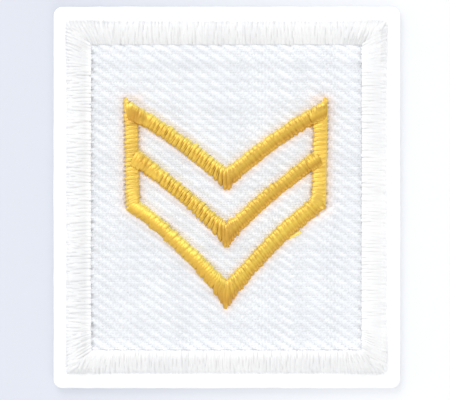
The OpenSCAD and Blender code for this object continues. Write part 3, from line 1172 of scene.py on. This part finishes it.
def woven_piece(name, pattern, points, shades, yarn_length, node=None):
    """One mesh of yarns that keeps the shade of each point."""
    count = len(points)
    piece = joined_rods(name, pattern, points, np.full(count, yarn_length), rng.random(count))
    keep_shades(piece, shades)
    print(name, "has", len(piece.data.polygons), "faces")
    return hand_over(piece, node)


warp_shade *= warp_tint.reshape(-1, 1)
warp = woven_piece("ground_warp", WARP_ROD, warp_points, warp_shade, span * WEFT_PITCH, "ground")
# The weft lies in the hollows under the floats, so it gets the hollows' painted shade all over
weft = woven_piece("ground_weft", WEFT_ROD, weft_points, weft_shade * (1 - GAP_SHADE), window_l)

# %% [markdown]
# The body of the ground is a thin plate with soft edges. It starts as a cube, gets its size, and is bevelled.

# %% Make the body of the ground
BODY_GAP = 0.06
BODY_EDGE_R = 0.05
body_top = cloth_top - WARP_DEPTH - WARP_THICK - BODY_GAP


def round_edges(bm, edges, radius, segments):
    """Rounds edges of a bmesh to a radius in millimetres."""
    bmesh.ops.bevel(
        bm, geom=edges, offset=radius * MM, offset_type="OFFSET", affect="EDGES",
        segments=segments, profile=0.5, material=-1, clamp_overlap=True,
    )


def soft_plate(low, high, edge_r, corner_r=0.0):
    """A plate between two corners in millimetres, with rounded upright corners and soft upper edges."""
    bm = bmesh.new()
    bmesh.ops.create_cube(bm, size=1)
    bmesh.ops.scale(bm, vec=Vector(high - low) * MM, verts=bm.verts)
    bmesh.ops.translate(bm, vec=Vector((low + high) / 2) * MM, verts=bm.verts)
    if corner_r:
        upright = [e for e in bm.edges if abs(e.verts[0].co.z - e.verts[1].co.z) > 1e-6]
        round_edges(bm, upright, corner_r, segments=8)
    top_z = high[2] * MM
    rim = [e for e in bm.edges if all(abs(v.co.z - top_z) < 1e-7 for v in e.verts)]
    round_edges(bm, rim, edge_r, segments=5)
    return bm


def mesh_from(name, bm):
    """A mesh from a bmesh, which is freed."""
    mesh = bpy.data.meshes.new(name)
    bm.to_mesh(mesh)
    bm.free()
    return mesh


def plate_piece(name, bm, node=None):
    """A smooth-shaded piece from a plate's bmesh."""
    bmesh.ops.recalc_face_normals(bm, faces=bm.faces)
    piece = in_scene(name, mesh_from(name, bm))
    piece.data.shade_smooth()
    print(name, "has", len(piece.data.polygons), "faces")
    return hand_over(piece, node)


plate = soft_plate(cloth_low, np.array([*cloth_high[:2], body_top]), BODY_EDGE_R)
ground_body = plate_piece("ground_body", plate)
# The body lies deepest, so it gets the hollows' painted shade as well
keep_shades(ground_body, np.full((len(ground_body.data.vertices), 3), 1 - GAP_SHADE))

# %% [markdown]
# The backing is a sheet of felt. It is cut into small cells after its corners and upper edge are rounded, and
# the cells are then moved a very little up, down and sideways, because pressed felt is never quite flat and
# its cut edge is never quite straight. The underside stays flat where the patch lies.

# %% Press and cut the felt backing
FELT_CELL = 0.5
FELT_WAVE = 0.018
FELT_EDGE_WAVE = 0.03
FELT_CORNER_R = 0.9
FELT_EDGE_R = 0.3
# Sizes of the lumps and of the grain on the felt, and of the waves of its edge, and how strong the grain is
FELT_LUMP = 0.9
FELT_GRAIN = 0.35
FELT_EDGE_LUMP = 1.4
GRAIN_SHARE = 0.6
# Height up to which the underside stays flat, and how far in the edge's waves reach
FLAT_BELOW = 0.05
EDGE_ZONE = 0.5
bm = soft_plate(felt_low, felt_high, FELT_EDGE_R, FELT_CORNER_R)
for axis, normal in enumerate((Vector((1, 0, 0)), Vector((0, 1, 0)))):
    length = felt_high[axis] - felt_low[axis]
    cuts = int(length / FELT_CELL)
    for cut in range(1, cuts):
        place = normal * (felt_low[axis] + cut * length / cuts) * MM
        whole = bm.verts[:] + bm.edges[:] + bm.faces[:]
        bmesh.ops.bisect_plane(bm, geom=whole, plane_co=place, plane_no=normal)
half = (felt_high - felt_low) / 2
for vert in bm.verts:
    x, y, z = (c / MM for c in vert.co)
    if z > FLAT_BELOW:
        wave = noise.noise(Vector((x / FELT_LUMP, y / FELT_LUMP, 2.0)))
        wave += GRAIN_SHARE * noise.noise(Vector((x / FELT_GRAIN, y / FELT_GRAIN, 7.0)))
        vert.co.z -= FELT_WAVE * (0.9 + wave) * MM * min(z, 1)
    edge = noise.noise(Vector((x / FELT_EDGE_LUMP, y / FELT_EDGE_LUMP, 4.0 + z))) - 0.5
    if abs(x) > half[0] - EDGE_ZONE:
        vert.co.x += math.copysign(FELT_EDGE_WAVE, x) * edge * MM
    if abs(y) > half[1] - EDGE_ZONE:
        vert.co.y += math.copysign(FELT_EDGE_WAVE, y) * edge * MM
backing = plate_piece("backing_sheet", bm, "backing")

# %% [markdown]
# The warp stands for the twill sheet, with the weft and the body on it.

# %% [markdown]
# Materials are made of nodes, and an effect that several materials use is a node group, built once. A few
# short helpers make a node, give its inputs their values and link it, so that each group and each material
# below reads as one list.

# %% Write helpers for nodes
FLOAT = "NodeSocketFloat"
VECTOR = "NodeSocketVector"
COLOR = "NodeSocketColor"


def feed(node, inputs):
    """Gives inputs of a node, by name or number, a value each or the socket that feeds it."""
    for label, value in inputs.items():
        if isinstance(value, bpy.types.NodeSocket):
            node.id_data.links.new(value, node.inputs[label])
        else:
            node.inputs[label].default_value = value


def add_node(tree, kind, inputs, **settings):
    """The outputs of a new shader node, whose settings and inputs are given."""
    node = tree.nodes.new("ShaderNode" + kind)
    for label, value in settings.items():
        setattr(node, label, value)
    feed(node, inputs)
    return node.outputs


def math_node(tree, operation, *values):
    """The output of a Math node, given its inputs, each a socket or a number."""
    return add_node(tree, "Math", dict(enumerate(values)), operation=operation)[0]


def new_group(name, inputs, outputs):
    """An empty node group with named inputs, each with its type and default, and named outputs."""
    group = bpy.data.node_groups.new(name, "ShaderNodeTree")
    for label, (kind, default) in inputs.items():
        socket = group.interface.new_socket(name=label, in_out="INPUT", socket_type=kind)
        if default is not None:
            socket.default_value = default
    for label, kind in outputs.items():
        group.interface.new_socket(name=label, in_out="OUTPUT", socket_type=kind)
    return group, group.nodes.new("NodeGroupInput").outputs, group.nodes.new("NodeGroupOutput")


# %% [markdown]
# Yarn has two looks at once: the slanted twist of its plies, and fine fibres along it. Both follow the
# thread, so they read its own UV map. The group puts out a height and a fibre mask, and each material sets
# how strong they are with its own Bump node.


# %% Build the yarn twist
def build_twist_group():
    """Yarn twist: slanted plies and fine fibres along a thread, from its UV map in millimetres and turns."""
    inputs = {
        "Thread": (VECTOR, None), "Turns per mm": (FLOAT, 1.2), "Plies": (FLOAT, 2.0),
        "Fibre Share": (FLOAT, 0.5), "Fibres per mm": (FLOAT, 2.0), "Fibres round": (FLOAT, 7.0),
    }
    group, given, end = new_group("Yarn Twist", inputs, {"Height": FLOAT, "Fibre": FLOAT})
    place = add_node(group, "SeparateXYZ", {0: given["Thread"]})
    around = math_node(group, "MULTIPLY", place["Y"], given["Plies"])
    along = math_node(group, "MULTIPLY", place["X"], given["Turns per mm"])
    slanted = math_node(group, "ADD", around, along)
    wave = math_node(group, "SINE", math_node(group, "MULTIPLY", slanted, 2 * math.pi))
    ply = math_node(group, "ABSOLUTE", wave)
    lengthwise = math_node(group, "MULTIPLY", place["X"], given["Fibres per mm"])
    crosswise = math_node(group, "MULTIPLY", slanted, given["Fibres round"])
    spread = add_node(group, "CombineXYZ", {"X": lengthwise, "Y": crosswise})[0]
    fibre = add_node(group, "TexNoise", {"Scale": 1.0, "Detail": 2.0, "Vector": spread})["Fac"]
    fine = math_node(group, "MULTIPLY", fibre, given["Fibre Share"])
    feed(end, {"Height": math_node(group, "ADD", ply, fine), "Fibre": fibre})
    return group


twist_group = build_twist_group()
print(twist_group.name, "has", len(twist_group.nodes), "nodes")

# %% [markdown]
# Cloth is not one even colour either. Soft noise moves it between a light and a dark shade that lie close
# together, in patches a few millimetres wide.


# %% Build the cloth patches
def build_patches_group():
    """Cloth Patches: a colour that drifts between two close shades over the cloth."""
    inputs = {
        "Position": (VECTOR, None), "Size mm": (FLOAT, 3.0), "Light": (COLOR, None), "Dark": (COLOR, None),
    }
    group, given, end = new_group("Cloth Patches", inputs, {"Color": COLOR})
    per_metre = math_node(group, "DIVIDE", 1 / MM, given["Size mm"])
    cloud = {"Detail": 3.0, "Vector": given["Position"], "Scale": per_metre}
    cloudy = {"From Min": 0.3, "From Max": 0.7, "Value": add_node(group, "TexNoise", cloud)["Fac"]}
    clear = add_node(group, "MapRange", cloudy)["Result"]
    shades = {"Factor": clear, "A": given["Dark"], "B": given["Light"]}
    feed(end, {"Color": add_node(group, "Mix", shades, data_type="RGBA")["Result"]})
    return group


patches_group = build_patches_group()
print(patches_group.name, "has", len(patches_group.nodes), "nodes")

# %% [markdown]
# Thread and twill share one recipe: a patchy colour, times the thread's own tone and the shade that each
# point of the piece keeps, with the twist as bump. Satin threads shine across their length and not along it,
# so the gloss is stretched by the thread's own direction.


# %% Write the steps that the materials share
def new_material(name):
    """A new material, its node tree and its shader."""
    material = bpy.data.materials.new(name)
    material.use_nodes = True
    return material, material.node_tree, material.node_tree.nodes["Principled BSDF"]


def patchy_color(tree, size, light, dark):
    """The colour of a cloth with patches of a size in millimetres, and the place that it is read at."""
    place = add_node(tree, "TexCoord", {})["Object"]
    inputs = {"Size mm": size, "Light": (*light, 1), "Dark": (*dark, 1), "Position": place}
    return add_node(tree, "Group", inputs, node_tree=patches_group)["Color"], place


def between(tree, value, low, high):
    """A value from 0 to 1 brought between low and high."""
    return add_node(tree, "MapRange", {"Value": value, "To Min": low, "To Max": high})["Result"]


def bumped(tree, height, strength, depth):
    """A normal from a height, with its strength and its depth in millimetres."""
    return add_node(tree, "Bump", {"Strength": strength, "Distance": depth * MM, "Height": height})["Normal"]

# %% [markdown]
# The recipe itself. What sets the gold, the white and the twill apart comes in as numbers.


# %% Write the recipe for yarn
def yarn_material(
    name, light, dark, patch, tones, turns, depth, roughness, gloss, glint=None,
    flecks=(0.96, 1.03), fibres=(2.0, 7.0),
):
    """A yarn's material. tones is the span of the tone from thread to thread.

    flecks is the span of its fibres' tone, and fibres how many there are to a mm and round the thread.
    gloss is how metallic, how specular and how coated the yarn is, and glint is the colour of a strong shine.
    """
    material, tree, shader = new_material(name)
    patches = patchy_color(tree, patch, light, dark)[0]
    thread = add_node(tree, "UVMap", {}, uv_map="thread")["UV"]
    inputs = {
        "Thread": thread, "Turns per mm": turns, "Plies": 2.0, "Fibre Share": 0.6,
        "Fibres per mm": fibres[0], "Fibres round": fibres[1],
    }
    twist = add_node(tree, "Group", inputs, node_tree=twist_group)
    tone = between(tree, add_node(tree, "Attribute", {}, attribute_name="tone")["Fac"], *tones)
    factor = math_node(tree, "MULTIPLY", tone, between(tree, twist["Fibre"], *flecks))
    toned = add_node(tree, "VectorMath", {0: patches, "Scale": factor}, operation="SCALE")[0]
    kept = add_node(tree, "Attribute", {}, attribute_name="point_shade")["Color"]
    lay = add_node(tree, "Tangent", {}, direction_type="UV_MAP", uv_map="thread")["Tangent"]
    feed(shader, {
        "Base Color": add_node(tree, "VectorMath", {0: toned, 1: kept}, operation="MULTIPLY")[0],
        "Roughness": between(tree, twist["Fibre"], roughness - 0.06, roughness + 0.06),
        "Metallic": gloss[0],
        "Specular IOR Level": gloss[1],
        "Coat Weight": gloss[2],
        "Coat Roughness": 0.45,
        "Sheen Weight": 0.1,
        "Sheen Roughness": 0.4,
        "Anisotropic": 0.8,
        "Anisotropic Rotation": 0.25,
        "Tangent": lay,
        "Normal": bumped(tree, twist["Height"], 0.6, depth),
    })
    if glint:
        feed(shader, {"IOR": 2.0, "Specular Tint": (*glint, 1)})
    return material


# %% [markdown]
# The gold thread is a shiny synthetic, so it is partly metallic and has a coat and a yellow glint. The white
# one has a soft gloss, and the cotton of the twill is dull, with stronger flecks.

# %% Mix the three yarn materials
gold = yarn_material(
    "gold_thread", light=(0.86, 0.597, 0.072), dark=(0.82, 0.527, 0.05), patch=4.0,
    tones=(0.9, 1.05), turns=0.9, depth=0.01, roughness=0.5, gloss=(0.6, 1.0, 0.4), glint=(1, 0.9, 0.43),
)
white = yarn_material(
    "white_thread", light=(0.77, 0.77, 0.775), dark=(0.73, 0.735, 0.745), patch=5.0,
    tones=(0.97, 1.02), turns=0.9, depth=0.006, roughness=0.5, gloss=(0.0, 0.4, 0.0),
)
twill = yarn_material(
    "twill_yarn", light=(0.80, 0.818, 0.846), dark=(0.765, 0.786, 0.821), patch=3.0,
    tones=(0.94, 1.03), turns=1.6, depth=0.008, roughness=0.8, gloss=(0.0, 0.3, 0.0),
    flecks=(0.8, 1.18), fibres=(3.4, 1.2),
)
print("yarn materials:", gold.name, white.name, twill.name)

# %% [markdown]
# Felt is a tangle of short fibres, so its bump is fine noise and its sheen is soft.

# %% Mix the felt material and dress the pieces
FIBRE_SIZE = 0.12
felt, felt_tree, felt_shader = new_material("backing_felt")
felt_color, felt_place = patchy_color(felt_tree, 6.0, (0.96, 0.96, 0.965), (0.93, 0.93, 0.94))
tangle = {"Scale": 1 / (FIBRE_SIZE * MM), "Detail": 4.0, "Distortion": 1.5, "Vector": felt_place}
felt_fibres = add_node(felt_tree, "TexNoise", tangle)["Fac"]
feed(felt_shader, {
    "Base Color": felt_color,
    "Roughness": between(felt_tree, felt_fibres, 0.8, 0.98),
    "Specular IOR Level": 0.2,
    "Sheen Weight": 0.3,
    "Sheen Roughness": 0.6,
    "Normal": bumped(felt_tree, felt_fibres, 0.5, 0.05),
})
worn = [
    (gold, [left_bar, right_bar, *chevrons]), (twill, [warp, weft, ground_body]),
    (white, [border]), (felt, [backing]),
]
for material, pieces in worn:
    for piece in pieces:
        piece.data.materials.clear()
        piece.data.materials.append(material)
    print(material.name, "on", len(pieces), "pieces")

# %% [markdown]
# The patch lies on a pale floor, as on a scanner's glass. The floor is only stage, so it isn't part of the
# model. The photo's ground is a little bluer and darker on the left, and so is the floor.

# %% Lay the floor
FLOOR_SIZE = 900.0
FLOOR_DROP = 0.02
# The floor's colour turns from the first to the second over this width, from left to right, as painted
# light that is dimmer on the left and brighter on the right
FLOOR_LEFT = (0.615, 0.643, 0.706, 1)
FLOOR_RIGHT = (0.775, 0.79, 0.815, 1)
FLOOR_TURN = 36.0

bm = bmesh.new()
bmesh.ops.create_grid(bm, x_segments=1, y_segments=1, size=FLOOR_SIZE / 2 * MM)
floor = in_scene("floor", mesh_from("floor", bm))
floor.location.z = -FLOOR_DROP * MM
floor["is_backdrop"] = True
floor_material, floor_tree, floor_shader = new_material("floor")
floor_x = add_node(floor_tree, "SeparateXYZ", {0: add_node(floor_tree, "TexCoord", {})["Object"]})["X"]
turn = {"Value": floor_x, "From Min": -FLOOR_TURN / 2 * MM, "From Max": FLOOR_TURN / 2 * MM}
shades = {"Factor": add_node(floor_tree, "MapRange", turn)["Result"], "A": FLOOR_LEFT, "B": FLOOR_RIGHT}
floor_color = add_node(floor_tree, "Mix", shades, data_type="RGBA")["Result"]
feed(floor_shader, {"Base Color": floor_color, "Roughness": 0.9, "Specular IOR Level": 0.1})
floor.data.materials.append(floor_material)
print("floor", FLOOR_SIZE, "mm wide")

# %% [markdown]
# The camera looks straight down through a long lens, so that nothing leans. Its view is as wide as the photo.

# %% Set the camera
VIEW_W = 45.27
VIEW_CENTRE = (-0.201, -0.2515)
CAMERA_HEIGHT = 500.0
SENSOR = 36.0
camera_data = bpy.data.cameras.new("camera")
camera_data.sensor_width = SENSOR
camera_data.lens = SENSOR * CAMERA_HEIGHT / VIEW_W
camera_data.clip_start = 10 * MM
camera_data.clip_end = 5000 * MM
camera = in_scene("camera", camera_data)
camera.location = Vector((*VIEW_CENTRE, CAMERA_HEIGHT + stitch_z)) * MM
bpy.context.scene.camera = camera
print(f"lens {camera_data.lens:.0f} mm, {CAMERA_HEIGHT:.0f} mm over the patch")

# %% [markdown]
# The key light comes from the top of the patch and a little from its left. It is in two parts, and only one
# of them casts shadows, because the photo's shadows are faint beside its bright and dull sides. Two weak
# lights, from the left and from the lower right, and a bright surround fill the shadows.

# %% Hang the lights
# Where each light comes from, how strong it is, how many degrees wide and whether it casts shadows
STUDIO = {
    "key": ((-0.36, 0.85, 0.85), 0.75, 40, True),
    "key_fill": ((-0.36, 0.85, 0.85), 0.85, 40, False),
    "side_fill": ((-1.0, 0.05, 0.5), 0.4, 60, True),
    "low_fill": ((0.4, -0.8, 0.5), 0.7, 60, True),
}
SURROUND_STRENGTH = 0.78

for name, (direction, strength, width, shadows) in STUDIO.items():
    light_data = bpy.data.lights.new(name, "SUN")
    light_data.energy = strength
    light_data.use_shadow = shadows
    light_data.angle = math.radians(width)
    light = in_scene(name, light_data)
    light.rotation_euler = Vector(direction).to_track_quat("Z", "Y").to_euler()

world = bpy.data.worlds.new("surround")
bpy.context.scene.world = world
world.use_nodes = True
feed(world.node_tree.nodes["Background"], {"Color": (1, 1, 1, 1), "Strength": SURROUND_STRENGTH})
bpy.context.scene.view_settings.view_transform = "Standard"
print(len(STUDIO), "lights and a surround of", SURROUND_STRENGTH)

# %% [markdown]
# Both boxes, of the CAD model and of the dressed patch, are printed side by side. The dressed patch
# has to keep the size of the CAD model.

# %% Print the boxes and finish
VISUAL_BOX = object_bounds()
for name, (low, high) in (("cad", CAD_BOX), ("visual", VISUAL_BOX)):
    print(name, "box", [round((b - a) / MM, 3) for a, b in zip(low, high)], "mm")
